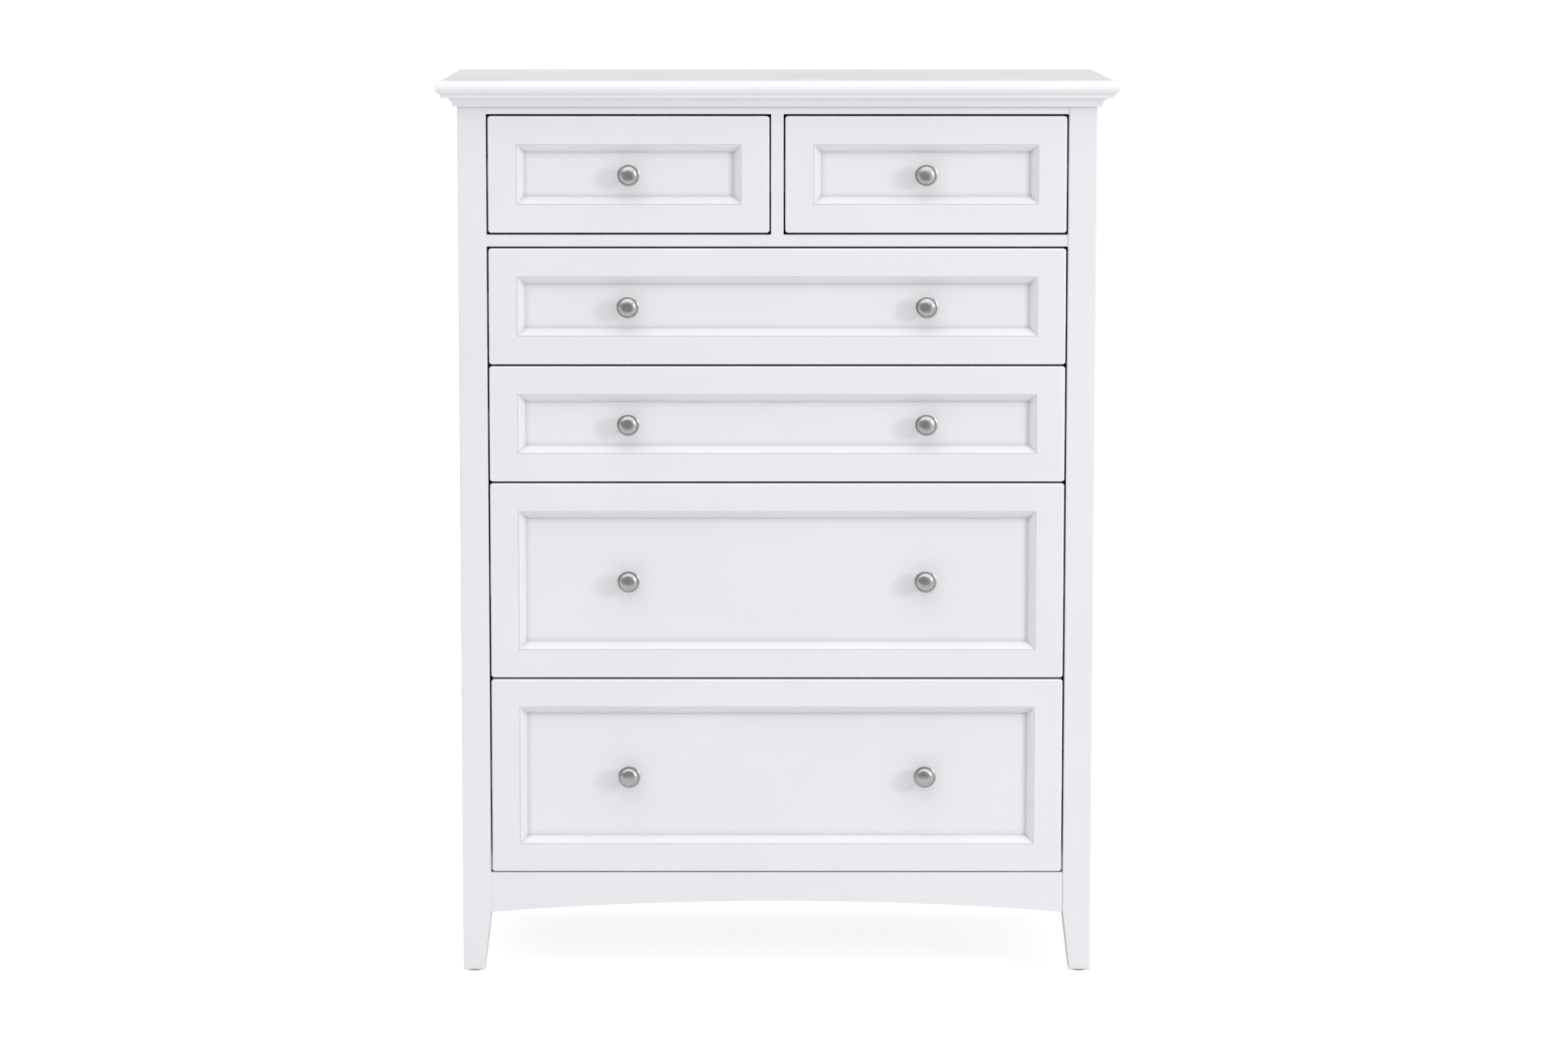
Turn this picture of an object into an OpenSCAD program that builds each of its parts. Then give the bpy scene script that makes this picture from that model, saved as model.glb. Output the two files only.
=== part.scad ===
// Tall chest of drawers: two small drawers over four wide ones, in a leg-and-panel case
// with a moulded top, an arched apron and tapered feet.
// Millimetres. X is to the right, Y to the back and Z up. The origin is on the floor under
// the middle of the top, and the drawers open towards -Y.

/* [Case] */
// Width over the outer faces of the legs
case_w = 930; // [820:1:1100]
// Depth from the front faces of the legs to the back of the case
case_d = 440; // [430:1:520]
// Width of a leg, seen from the front
leg_w = 41.5; // [36:0.5:50]
// Depth of a leg, seen from the side
leg_d = 45; // [40:0.5:60]
// Height of the tapered foot, up to the lower edge of the apron
foot_h = 90; // [60:1:140]
// How much narrower a foot is at the floor than the leg above it
foot_taper = 10; // [4:0.5:14]
// Height of the apron at its ends
apron_h = 60; // [45:1:90]
// Rise of the apron's arch at the middle
arch_rise = 16.5; // [5:0.5:30]
// Height of the rail between the small drawers and the wide ones
divider_h = 17; // [12:0.5:30]
// Thickness of the partition between the two small drawers
partition_t = 18; // [12:0.5:25]
// Height of the rail over the small drawers
top_rail_h = 24; // [20:0.5:40]

/* [Top] */
// Thickness of the top panel
slab_t = 25; // [22:0.5:32]
// How far the top stands out past the legs at the front and at each side
top_overhang = 30; // [26:0.5:40]
// Height of the cove moulding under the top
crown_h = 13; // [11:0.5:18]

/* [Drawers] */
// Height of the two small drawer fronts
small_h = 169.5; // [150:0.5:210]
// Height of the two shallow wide drawer fronts
shallow_h = 169.5; // [150:0.5:210]
// Height of the two deep wide drawer fronts
deep_h = 288; // [200:0.5:320]
// Gap over and under each drawer front
face_gap = 3; // [2:0.5:6]
// Gap between the bottom drawer front and the apron
apron_gap = 1.5; // [1:0.5:6]
// Gap at each side of a drawer front
side_gap = 2.5; // [2:0.5:5]
// Width of the flat face of a front's frame, outside its moulding
frame_flat = 41; // [32:0.5:46]
// Thickness of a drawer front
front_t = 22; // [20:0.5:25]
// Thickness of the boards of the drawer boxes
board_t = 12; // [10:0.5:15]
// Length of a drawer box from front to back
box_d = 370; // [355:1:380]
// Diameter of a knob
knob_dia = 33; // [28:0.5:38]
// How far a knob stands out from its panel
knob_out = 31; // [27:0.5:34]
// Distance of a wide drawer's knobs from its middle
knob_x = 218; // [150:1:260]

/* [Slides] */
// Length of a slide, which is also how far its drawer opens
slide_l = 350; // [250:10:350]
// Height of a slide
slide_h = 45; // [42:0.5:46]
// Room for a slide between the case and a drawer box
slide_room = 13; // [12.7:0.1:14]

/* [Hidden] */
// Case
leg_x = case_w / 2;                      // outer face of the legs
inner_x = leg_x - leg_w;                 // inner face of the legs
overall_d = case_d + top_overhang;
back_y = overall_d / 2;
front_y = back_y - case_d;               // front face of the legs
frame_y = front_y + 1.8;                 // rails and partition stand back a little
leg_back_y = front_y + leg_d;            // back face of the front legs
rear_leg_y = back_y - leg_d;             // front face of the rear legs
glide_h = 3;
glide_dia = 22;
foot_chamfer = 1.5;
rail_t = 20;
front_rail_d = 48;
side_rail_set = 1.5;                     // side rails stand in from the legs
side_rail_low_h = 60;
side_rail_top_h = 50;
side_panel_t = 9;
side_panel_set = 7;
panel_groove = 8;
back_panel_t = 4;
back_rabbet = 10;
cleat_h = 50;
panel_x = leg_x - side_panel_set - side_panel_t;   // inner face of the side panels
back_rail_y = back_y - back_panel_t - rail_t;

// Heights, from the apron up
apron_z = foot_h + apron_h;
bottom_z = apron_z + apron_gap;
fourth_z = bottom_z + deep_h + face_gap;
third_z = fourth_z + deep_h + face_gap;
second_z = third_z + shallow_h + face_gap;
divider_z = second_z + shallow_h + face_gap;
small_z = divider_z + divider_h + face_gap;
top_rail_z = small_z + small_h + face_gap;
slab_z = top_rail_z + top_rail_h;
top_z = slab_z + slab_t;

// Edge of the top: a rounding over a hollow slope, then a fillet and the cove below
nose_w = 9.5;
nose_h = 12.5;
slope_w = 7;
fillet_h = 4.5;
cove_out = 18.3;
cove_in = 6.5;
crown_foot = 1.5;
arc_steps = 12;

// Drawer fronts: the moulding inside the frame and the panel that it holds
face_round = 2.5;
quirk_w = 1.2;                           // groove round the moulding's outer edge
quirk = 0.8;
mould_step = 0.5;                        // the moulding starts that far behind the face
mould_w = 10.6;
mould_tilt = [34, 61];                   // slope of the moulding at its outer and inner edge
panel_drop = 12.4;
tongue_t = 6;
tongue_l = 8;
joint_gap = 0.1;                         // glue line that keeps neighbouring boards apart
mould_r = mould_w / (sin(mould_tilt[1]) - sin(mould_tilt[0]));
frame_w = frame_flat + quirk_w + mould_w;

// Drawer boxes
box_rise = 16;
box_fall = 24;
bottom_t = 5;
bottom_rise = 10;
bottom_groove = 6;
box_y = front_y + front_t;

// Knobs and their screws
knob_hole_r = 2.1;
knob_hole_l = 12;
screw_r = 2;
screw_bite = 11;
screw_head_r = 4.5;
screw_head_h = 2.4;
through_r = 2.5;

// Slides: three nested steel channels, t is measured from the case towards the drawer
slide_y = box_y + 2;
sheet = 1.2;
race = 2.4;
run_gap = 0.5;
cap_r = 3.6;                             // heads of the slide screws
cap_h = 1.5;
shank_r = 1.75;
shank_gap = 0.3;
case_bite = min(7.5, partition_t / 2 - 0.5);
box_bite = 8;
middle_t = sheet + cap_h + 0.6;
case_screw_y = [12, 0.45 * slide_l, 0.9 * slide_l];
box_screw_y = [40, slide_l - 40];

// One row per drawer: name, middle of the front in X, lower edge in Z, width, height, knobs
wide_w = 2 * (inner_x - side_gap);
small_w = (wide_w - partition_t - 2 * side_gap) / 2;
small_x = partition_t / 2 + side_gap + small_w / 2;
DRAWERS = [
    ["top_left", -small_x, small_z, small_w, small_h, [0]],
    ["top_right", small_x, small_z, small_w, small_h, [0]],
    ["second", 0, second_z, wide_w, shallow_h, [-knob_x, knob_x]],
    ["third", 0, third_z, wide_w, shallow_h, [-knob_x, knob_x]],
    ["fourth", 0, fourth_z, wide_w, deep_h, [-knob_x, knob_x]],
    ["bottom", 0, bottom_z, wide_w, deep_h, [-knob_x, knob_x]]
];
function drawer_name(d) = d[0];
function mid_x(d) = d[1];
function low_z(d) = d[2];
function face_w(d) = d[3];
function face_h(d) = d[4];
function knob_xs(d) = d[5];
function open_w(d) = face_w(d) + 2 * side_gap;
function box_w(d) = open_w(d) - 2 * slide_room;
function box_h(d) = face_h(d) - box_rise - box_fall;
function box_z(d) = low_z(d) + box_rise;
function slide_z(d) = box_z(d) + box_h(d) / 2;
function knob_word(d) = len(knob_xs(d)) > 1 ? "knobs" : "knob";

function node_of(d, piece) = str(drawer_name(d), "_", piece);
function drawer_nodes(d) = [
    for (piece = ["front_frame", "front_panel", "box", "box_bottom", knob_word(d),
                  "drawer_slides", "middle_slides"])
        node_of(d, piece)
];

white = "#E7E6EA";
birch = "#D9B98A";
plywood = "#CDAA78";
zinc = "#AEB2B5";
nickel = "#96938E";
felt = "#5A5652";

// Points of an arc about c, from angle a to angle b, with radii rx and rz
function arc(c, rx, rz, a, b, steps = arc_steps) = [
    for (i = [0:steps])
        let (t = a + (b - a) * i / steps) [c[0] + rx * cos(t), c[1] + rz * sin(t)]
];

// A box from its lowest corner to its highest
module block(low, high) {
    translate(low)
        cube(high - low);
}

// The same thing at the left and at the right
module both_sides() {
    for (s = [0, 1])
        mirror([s, 0, 0])
            children();
}

// ---- Top ----

// Outward reach from the legs and height of the top's moulded edge, from the top down
function slab_edge() = concat(
    arc([top_overhang - nose_w, top_z - nose_h], nose_w, nose_h, 90, 0),
    [[top_overhang - slope_w, slab_z + fillet_h], [top_overhang - slope_w, slab_z]]
);

// The same for the cove moulding under it
function crown_edge() = concat(
    arc([cove_out, slab_z - crown_h + crown_foot], cove_out - cove_in,
        crown_h - crown_foot, 90, 180),
    [[cove_in, slab_z - crown_h]]
);

// A slab whose left, right and front edges follow an edge profile, mitred at the corners
module moulded(edge) {
    across = [for (p = edge) [leg_x + p[0], p[1]]];
    along = [for (p = edge) [front_y - p[0], p[1]]];
    intersection() {
        translate([0, back_y, 0])
            rotate([90, 0, 0])
                linear_extrude(2 * overall_d)
                    polygon(concat(across, [for (i = [len(across) - 1:-1:0])
                        [-across[i][0], across[i][1]]]));
        translate([-case_w, 0, 0])
            rotate([90, 0, 90])
                linear_extrude(2 * case_w)
                    polygon(concat(along, [[back_y, edge[len(edge) - 1][1]],
                        [back_y, edge[0][1]]]));
    }
}

module top_panel() {
    color(white)
        moulded(slab_edge());
}

// Keeps what lies in front of the mitre lines that run out from the front corners
module in_front_of_mitres(shift) {
    reach = 2 * top_overhang;
    translate([0, 0, slab_z - crown_h - 1])
        linear_extrude(crown_h + 2)
            polygon([[-leg_x - shift, front_y], [leg_x + shift, front_y],
                [leg_x + reach + shift, front_y - reach],
                [-leg_x - reach - shift, front_y - reach]]);
}

module crown_moulding() {
    z = slab_z - crown_h;
    color(white) {
        intersection() {
            moulded(crown_edge());
            in_front_of_mitres(-joint_gap);
        }
        difference() {
            moulded(crown_edge());
            block([-leg_x, front_y - joint_gap, z - 1], [leg_x, back_y + 1, slab_z + 1]);
            in_front_of_mitres(0);
            block([-leg_x, front_y - overall_d, z - 1], [leg_x, front_y, slab_z + 1]);
        }
    }
}

// ---- Legs, sides and back ----

// A leg's outline from one side: the outer edge is straight and the inner one tapers
module leg_outline(width) {
    foot = width - foot_taper;
    polygon([[0, slab_z], [0, glide_h + foot_chamfer], [foot_chamfer, glide_h],
        [foot - foot_chamfer, glide_h], [foot, glide_h + foot_chamfer],
        [width, foot_h], [width, slab_z]]);
}

// A front left leg with its outer corner at x = 0, y = 0
module leg_blank() {
    intersection() {
        translate([0, leg_d, 0])
            rotate([90, 0, 0])
                linear_extrude(leg_d)
                    leg_outline(leg_w);
        rotate([90, 0, 90])
            linear_extrude(leg_w)
                leg_outline(leg_d);
    }
}

module front_leg(side) {
    color(white)
        mirror([side, 0, 0])
            difference() {
                translate([-leg_x, front_y, 0])
                    leg_blank();
                side_panel_blank();
            }
}

module rear_leg(side) {
    color(white)
        mirror([side, 0, 0])
            difference() {
                translate([-leg_x, back_y, 0])
                    mirror([0, 1, 0])
                        leg_blank();
                side_panel_blank();
                back_panel_blank();
            }
}

// The left side panel, whose edges sit in grooves in the legs and side rails
module side_panel_blank() {
    block([-panel_x - side_panel_t, leg_back_y - panel_groove,
           foot_h + side_rail_low_h - panel_groove],
          [-panel_x, rear_leg_y + panel_groove,
           slab_z - side_rail_top_h + panel_groove]);
}

module side_panel(side) {
    color(white)
        mirror([side, 0, 0])
            side_panel_blank();
}

module side_rails() {
    outer = -leg_x + side_rail_set;
    color(white)
        both_sides()
            difference() {
                union() {
                    block([outer, leg_back_y, foot_h],
                          [outer + rail_t, rear_leg_y, foot_h + side_rail_low_h]);
                    block([outer, leg_back_y, slab_z - side_rail_top_h],
                          [outer + rail_t, rear_leg_y, slab_z]);
                }
                side_panel_blank();
            }
}

module back_panel_blank() {
    block([-inner_x - back_rabbet, back_y - back_panel_t, foot_h],
          [inner_x + back_rabbet, back_y, slab_z]);
}

module back_panel() {
    color(plywood)
        back_panel_blank();
}

module back_rail(low, high) {
    block([-inner_x, back_rail_y, low], [inner_x, back_rail_y + rail_t, high]);
}

module back_rails() {
    color(birch) {
        back_rail(foot_h, apron_z);
        back_rail(divider_z - divider_h, divider_z + divider_h);
        back_rail(top_rail_z, slab_z);
    }
}

// ---- Front rails, partition and apron ----

module front_rail(low, high) {
    color(white)
        block([-inner_x, frame_y, low], [inner_x, frame_y + front_rail_d, high]);
}

module top_rail() {
    front_rail(top_rail_z, slab_z);
}

module divider_rail() {
    front_rail(divider_z, divider_z + divider_h);
}

module centre_partition() {
    color(white)
        block([-partition_t / 2, frame_y, divider_z + divider_h],
              [partition_t / 2, back_rail_y + rail_t, top_rail_z]);
}

// The arch is one circular arc through the lower corners and the middle of the apron
module arched_apron() {
    r = (inner_x * inner_x + arch_rise * arch_rise) / (2 * arch_rise);
    half = asin(inner_x / r);
    color(white)
        translate([0, frame_y + rail_t, 0])
            rotate([90, 0, 0])
                linear_extrude(rail_t)
                    polygon(concat([[inner_x, apron_z], [-inner_x, apron_z]],
                        arc([0, foot_h + arch_rise - r], r, r, 90 + half, 90 - half, 32)));
}

module floor_glides() {
    x = leg_x - (leg_w - foot_taper) / 2;
    reach = (leg_d - foot_taper) / 2;
    color(felt)
        both_sides()
            for (y = [front_y + reach, back_y - reach])
                translate([x, y, 0])
                    cylinder(d = glide_dia, h = glide_h, $fn = 48);
}

// ---- Slides ----

// A channel along Y, from its web at t0 to the ends of its lips at t1
module channel(t0, t1, half_h, lip_t) {
    block([t0, 0, -half_h], [t0 + sheet, slide_l, half_h]);
    for (z = [-half_h, half_h - lip_t])
        block([t0, 0, z], [t1, slide_l, z + lip_t]);
}

// Places a slide at both sides of a drawer's opening, with t towards the drawer
module at_slides(d) {
    for (side = [0, 1])
        translate([mid_x(d), slide_y, slide_z(d)])
            mirror([side, 0, 0])
                translate([-open_w(d) / 2, 0, 0])
                    children();
}

// The wood screws of a slide at points along it, driven through its web at t = 0
module slide_screws(ys, bite) {
    for (y = ys)
        translate([0, y, 0])
            rotate([0, 90, 0]) {
                translate([0, 0, sheet + joint_gap])
                    cylinder(r = cap_r, h = cap_h, $fn = 24);
                translate([0, 0, -bite])
                    cylinder(r = shank_r, h = bite + sheet + cap_h, $fn = 24);
            }
}

// Holes in a web, through which its screws pass
module screw_holes(ys) {
    for (y = ys)
        translate([-1, y, 0])
            rotate([0, 90, 0])
                cylinder(r = shank_r + shank_gap, h = sheet + 2, $fn = 24);
}

module case_slides() {
    color(zinc)
        for (d = DRAWERS)
            at_slides(d) {
                difference() {
                    channel(0, slide_room - 2.5, slide_h / 2, sheet + run_gap);
                    screw_holes(case_screw_y);
                }
                slide_screws(case_screw_y, case_bite);
            }
}

module middle_slides(d) {
    half = slide_h / 2 - sheet - 2 * run_gap;
    color(zinc)
        at_slides(d)
            channel(middle_t, slide_room - sheet - run_gap, half, race);
}

module drawer_slides(d) {
    half = slide_h / 2 - sheet - 3 * run_gap - race;
    color(zinc)
        at_slides(d)
            translate([slide_room, 0, 0])
                mirror([1, 0, 0]) {
                    difference() {
                        channel(0, slide_room - middle_t - sheet - 2 * run_gap, half, race);
                        screw_holes(box_screw_y);
                    }
                    slide_screws(box_screw_y, box_bite);
                }
}

// Strips between the legs that carry the slides at the sides of the case
module slide_cleats() {
    color(birch)
        both_sides()
            for (d = DRAWERS)
                if (mid_x(d) <= 0)
                    block([-panel_x, leg_back_y, slide_z(d) - cleat_h / 2],
                          [-inner_x, rear_leg_y, slide_z(d) + cleat_h / 2]);
}

// ---- Drawers ----

// Section of a front's frame: distance in from the outer edge, and depth behind the face
function frame_section() = concat(
    arc([face_round, face_round], face_round, face_round, 180, 270, 6),
    [[frame_flat, 0], [frame_flat, quirk], [frame_flat + quirk_w, quirk]],
    arc([frame_flat + quirk_w - mould_r * sin(mould_tilt[0]),
         mould_step + mould_r * cos(mould_tilt[0])],
        mould_r, mould_r, mould_tilt[0] - 90, mould_tilt[1] - 90, 8),
    [[frame_w, panel_drop],
     [frame_w - tongue_l, panel_drop], [frame_w - tongue_l, panel_drop + tongue_t],
     [frame_w, panel_drop + tongue_t], [frame_w, front_t], [0, front_t]]
);

// The lower rail of a frame of width w, mitred at its ends, on the line z = 0
module frame_member(w) {
    intersection() {
        translate([-w / 2, 0, 0])
            rotate([90, 0, 90])
                linear_extrude(w)
                    polygon([for (p = frame_section()) [p[1], p[0]]]);
        translate([0, front_t + 1, 0])
            rotate([90, 0, 0])
                linear_extrude(front_t + 2)
                    polygon([[-w / 2 + joint_gap, 0], [w / 2 - joint_gap, 0],
                        [w / 2 - joint_gap - frame_w - 1, frame_w + 1],
                        [-w / 2 + joint_gap + frame_w + 1, frame_w + 1]]);
    }
}

module front_frame(d) {
    w = face_w(d);
    h = face_h(d);
    color(white)
        translate([mid_x(d), front_y, low_z(d) + h / 2])
            for (turn = [0, 90, 180, 270])
                rotate([0, turn, 0])
                    translate([0, 0, turn % 180 == 0 ? -h / 2 : -w / 2])
                        frame_member(turn % 180 == 0 ? w : h);
}

// A solid panel with a tongue round its edge, drilled for the knob screws
module front_panel(d) {
    half_w = face_w(d) / 2 - frame_w;
    half_h = face_h(d) / 2 - frame_w;
    color(white)
        translate([mid_x(d), front_y, low_z(d) + face_h(d) / 2])
            difference() {
                union() {
                    block([-half_w, panel_drop, -half_h], [half_w, front_t, half_h]);
                    block([-half_w - tongue_l, panel_drop, -half_h - tongue_l],
                          [half_w + tongue_l, panel_drop + tongue_t, half_h + tongue_l]);
                }
                knob_holes(d);
            }
}

// Holes for the knob screws, through the front and the box board behind it
module knob_holes(d) {
    for (x = knob_xs(d))
        translate([x, front_t + board_t + 1, 0])
            rotate([90, 0, 0])
                cylinder(r = through_r, h = front_t + board_t + 2, $fn = 24);
}

module box_bottom_blank(d) {
    half = box_w(d) / 2 - board_t + bottom_groove;
    z = box_z(d) + bottom_rise;
    translate([mid_x(d), 0, 0])
        block([-half, box_y + board_t - bottom_groove, z],
              [half, box_y + box_d - board_t + bottom_groove, z + bottom_t]);
}

// Two sides, with the inner front and the back between them, grooved for the bottom
module box(d) {
    half = box_w(d) / 2;
    end = half - board_t - joint_gap;
    z = box_z(d);
    color(birch)
        difference() {
            translate([mid_x(d), 0, 0]) {
                both_sides()
                    block([-half, box_y, z], [board_t - half, box_y + box_d, z + box_h(d)]);
                for (y = [box_y, box_y + box_d - board_t])
                    block([-end, y, z], [end, y + board_t, z + box_h(d)]);
            }
            box_bottom_blank(d);
            translate([mid_x(d), front_y, low_z(d) + face_h(d) / 2])
                knob_holes(d);
        }
}

module box_bottom(d) {
    color(plywood)
        box_bottom_blank(d);
}

// Radius and height of a knob, from its foot on the panel to the middle of its dome
function knob_profile() = let (
    rim_r = knob_dia / 2,
    dome_r = rim_r - 1.5,
    rim_z = knob_out - 9
) concat(
    [[knob_hole_r, 0], [8.5, 0], [8.5, 1.5]],
    arc([8.5, 4.5], 3, 3, 270, 180, 6),
    [[5, 11]],
    arc([5, rim_z], rim_r - 6, rim_z - 12, 270, 360, 8),
    [[rim_r, rim_z], [rim_r, rim_z + 1.5], [dome_r, rim_z + 2]],
    arc([0, rim_z + 2], dome_r, knob_out - rim_z - 2, 0, 90),
    [[0, knob_hole_l], [knob_hole_r, knob_hole_l]]
);

// The screw that holds a knob, from its head inside the drawer
module knob_screw() {
    grip = front_t - panel_drop + board_t;
    translate([0, 0, -grip - screw_head_h])
        cylinder(r = screw_head_r, h = screw_head_h, $fn = 24);
    translate([0, 0, -grip])
        cylinder(r = screw_r, h = grip + screw_bite, $fn = 24);
}

module knobs(d) {
    color(nickel)
        for (x = knob_xs(d))
            translate([mid_x(d) + x, front_y + panel_drop, low_z(d) + face_h(d) / 2])
                rotate([90, 0, 0]) {
                    rotate_extrude($fn = 64)
                        polygon(knob_profile());
                    knob_screw();
                }
}

// ---- Nodes ----

top_panel();
crown_moulding();
front_leg(0);  // front_leg_left
front_leg(1);  // front_leg_right
rear_leg(0);  // rear_leg_left
rear_leg(1);  // rear_leg_right
side_panel(0);  // side_panel_left
side_panel(1);  // side_panel_right
side_rails();
back_panel();
back_rails();
top_rail();
divider_rail();
centre_partition();
arched_apron();
slide_cleats();
case_slides();
floor_glides();
for (d = DRAWERS) {
    front_frame(d);
    front_panel(d);
    box(d);
    box_bottom(d);
    knobs(d);
    drawer_slides(d);
    middle_slides(d);
}
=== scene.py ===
"""Looks of the tall chest of drawers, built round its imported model.

Metres, +Z up, +Y to the back. The drawers open towards -Y. Every piece takes its place from
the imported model's boxes and rides on the body that carries it.
"""
import math

import bmesh
import bpy
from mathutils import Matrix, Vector


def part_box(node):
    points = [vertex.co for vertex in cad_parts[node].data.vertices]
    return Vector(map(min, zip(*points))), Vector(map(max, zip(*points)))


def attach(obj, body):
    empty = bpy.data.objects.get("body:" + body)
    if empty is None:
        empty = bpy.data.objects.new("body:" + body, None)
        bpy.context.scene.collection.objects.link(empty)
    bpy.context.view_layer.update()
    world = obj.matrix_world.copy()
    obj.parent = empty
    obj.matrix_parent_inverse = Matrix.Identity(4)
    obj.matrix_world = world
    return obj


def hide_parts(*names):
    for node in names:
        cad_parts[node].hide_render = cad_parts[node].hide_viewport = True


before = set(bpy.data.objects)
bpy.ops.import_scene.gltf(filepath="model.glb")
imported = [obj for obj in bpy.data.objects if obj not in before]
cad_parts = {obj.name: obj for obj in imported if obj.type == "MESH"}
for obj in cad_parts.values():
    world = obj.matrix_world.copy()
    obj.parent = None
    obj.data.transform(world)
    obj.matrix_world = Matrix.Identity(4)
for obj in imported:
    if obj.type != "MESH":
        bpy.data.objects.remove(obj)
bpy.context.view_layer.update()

MM = 0.001

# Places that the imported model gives
LEG_LOW, LEG_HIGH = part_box("front_leg_right")
LEG_X = LEG_HIGH.x                          # outer face of the legs
INNER_X = LEG_LOW.x                         # inner face of the legs
FRONT_Y = LEG_LOW.y
BACK_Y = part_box("rear_leg_right")[1].y
FOOT_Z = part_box("back_panel")[0].z          # where the feet begin to taper
SLAB_LOW, SLAB_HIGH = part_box("top_panel")
OVERHANG = SLAB_HIGH.x - LEG_X

# Shapes that the boxes don't give
FOOT_TAPER = 10 * MM
POST_EDGE = 2.0 * MM                        # softened edges: posts, rails, panels and boards
RAIL_EDGE = 1.4 * MM
FINE_EDGE = 0.8 * MM
SMOOTH_ANGLE = math.radians(38)
NOSE_W, NOSE_H = 9.5 * MM, 12.5 * MM        # rounding of the top's edge
SLOPE_W, FILLET_H = 7 * MM, 4.5 * MM
COVE_OUT, COVE_IN, COVE_FOOT = 18.3 * MM, 6.5 * MM, 1.5 * MM
FRAME_FLAT = 41 * MM                        # flat of a drawer front's frame
QUIRK, QUIRK_W = 0.8 * MM, 1.2 * MM         # groove between the flat and the moulding
MOULD_STEP = 0.5 * MM                       # the moulding starts that far behind the flat
MOULD_W = 10.6 * MM
MOULD_TILT = (34, 61)                       # slope of the moulding at its two edges
PANEL_DROP = 12.4 * MM
FRAME_W = FRAME_FLAT + QUIRK_W + MOULD_W
KNOB_OUT = 31 * MM
KNOB_R = 16.5 * MM                          # the knobs' rim
TONGUE_T, TONGUE_L = 6 * MM, 8 * MM         # the panel's tongue, thickness and length
FACE_ROUND = 2.5 * MM                       # rounding of a drawer front's outer edge
FACE_CORNER = 4.0 * MM                      # rounding of its corners, seen from the front
BOARD_T = 12 * MM                           # boards of the drawer boxes
KNOB_SCREW = (4.5 * MM, 2.4 * MM)           # screw heads, radius and height
PANEL_SCREW = (3.4 * MM, 1.1 * MM)
TINY = 1e-6                                 # slack when telling which edges lie in a plane
SHARP = 0.02 * MM                           # rounding of corners that stay sharp

DRAWERS = ["top_left", "top_right", "second", "third", "fourth", "bottom"]

# The camera stands in front, above the top and a little left of the middle
CAMERA_AT = (-0.0373, -6.939, 1.5775)
CAMERA_DOWN = 7.25                          # degrees
CAMERA_SHIFT = (0.0206, -0.0206)
LENS, SENSOR = 106.3, 36.0

# Large soft lights of the studio: direction, cosines where each fades out and is full, strength
SOFTBOXES = [((0, 0, 1), 0.2, 0.7, 0.70), ((0, -0.7, 0.7), 0.6, 0.9, 0.50)]
SURROUND, SURROUND_COLOUR = 0.407, (0.985, 0.985, 1.0)
CHEST_MIDDLE = Vector((0, 0, 0.66))
STUDIO_R = 60.0                             # reach of the floor and the wall
ROOM_R, ROOM_AT = 1.4, (-0.5, -1.7, 0.5)    # the dark room that the metal reflects


# ---------------------------------------------------------------- camera, light, floor

def make_camera():
    """The photograph's view."""
    data = bpy.data.cameras.new("camera")
    data.lens = LENS
    data.sensor_width = SENSOR
    data.clip_end = 500.0
    data.shift_x, data.shift_y = CAMERA_SHIFT
    camera = bpy.data.objects.new("camera", data)
    camera.location = CAMERA_AT
    camera.rotation_euler = (math.radians(90 - CAMERA_DOWN), 0, 0)
    bpy.context.scene.collection.objects.link(camera)
    bpy.context.scene.camera = camera


def area_light(name, way, far, size, watts):
    """A round soft light, that far away from the chest's middle along a direction."""
    data = bpy.data.lights.new(name, "AREA")
    data.shape = "DISK"
    data.size = size
    data.energy = watts
    light = bpy.data.objects.new(name, data)
    light.location = CHEST_MIDDLE + Vector(way).normalized() * far
    aim = CHEST_MIDDLE - light.location
    light.rotation_euler = aim.to_track_quat("-Z", "Y").to_euler()
    bpy.context.scene.collection.objects.link(light)


def make_world():
    """A plain surround that glows more where the large soft lights hang."""
    world = bpy.data.worlds.new("studio")
    world.use_nodes = True
    nodes, links = world.node_tree.nodes, world.node_tree.links
    way = nodes.new("ShaderNodeTexCoord").outputs["Generated"]
    total = None
    for direction, fade, full, strength in SOFTBOXES:
        dot = nodes.new("ShaderNodeVectorMath")
        dot.operation = "DOT_PRODUCT"
        dot.inputs[1].default_value = Vector(direction).normalized()
        links.new(way, dot.inputs[0])
        glow = nodes.new("ShaderNodeMapRange")
        glow.interpolation_type = "SMOOTHSTEP"
        for name, value in (("From Min", fade), ("From Max", full), ("To Max", strength)):
            glow.inputs[name].default_value = value
        links.new(dot.outputs["Value"], glow.inputs["Value"])
        both = nodes.new("ShaderNodeMath")
        both.inputs[1].default_value = SURROUND
        links.new(glow.outputs["Result"], both.inputs[0])
        if total:
            links.new(total, both.inputs[1])
        total = both.outputs["Value"]
    background = nodes["Background"]
    background.inputs["Color"].default_value = (*SURROUND_COLOUR, 1)
    links.new(total, background.inputs["Strength"])
    bpy.context.scene.world = world


def make_light():
    """Soft light from all round and above, and a key light from the right."""
    make_world()
    area_light("side_key", way=(0.76, -0.58, 0.24), far=8.0, size=1.9, watts=155)


def stage_piece(name, points, faces, grey, glow):
    """Part of the studio: a matt surface that also glows a little."""
    mesh = bpy.data.meshes.new(name)
    mesh.from_pydata(points, [], faces)
    made = bpy.data.objects.new(name, mesh)
    bpy.context.scene.collection.objects.link(made)
    material, _, shader = new_material("studio_" + name, (grey, grey, grey), 0.9)
    shader.inputs["Emission Color"].default_value = (1, 1, 1, 1)
    shader.inputs["Emission Strength"].default_value = glow
    shader.inputs["Specular IOR Level"].default_value = 0.0
    mesh.materials.append(material)
    return made


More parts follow.
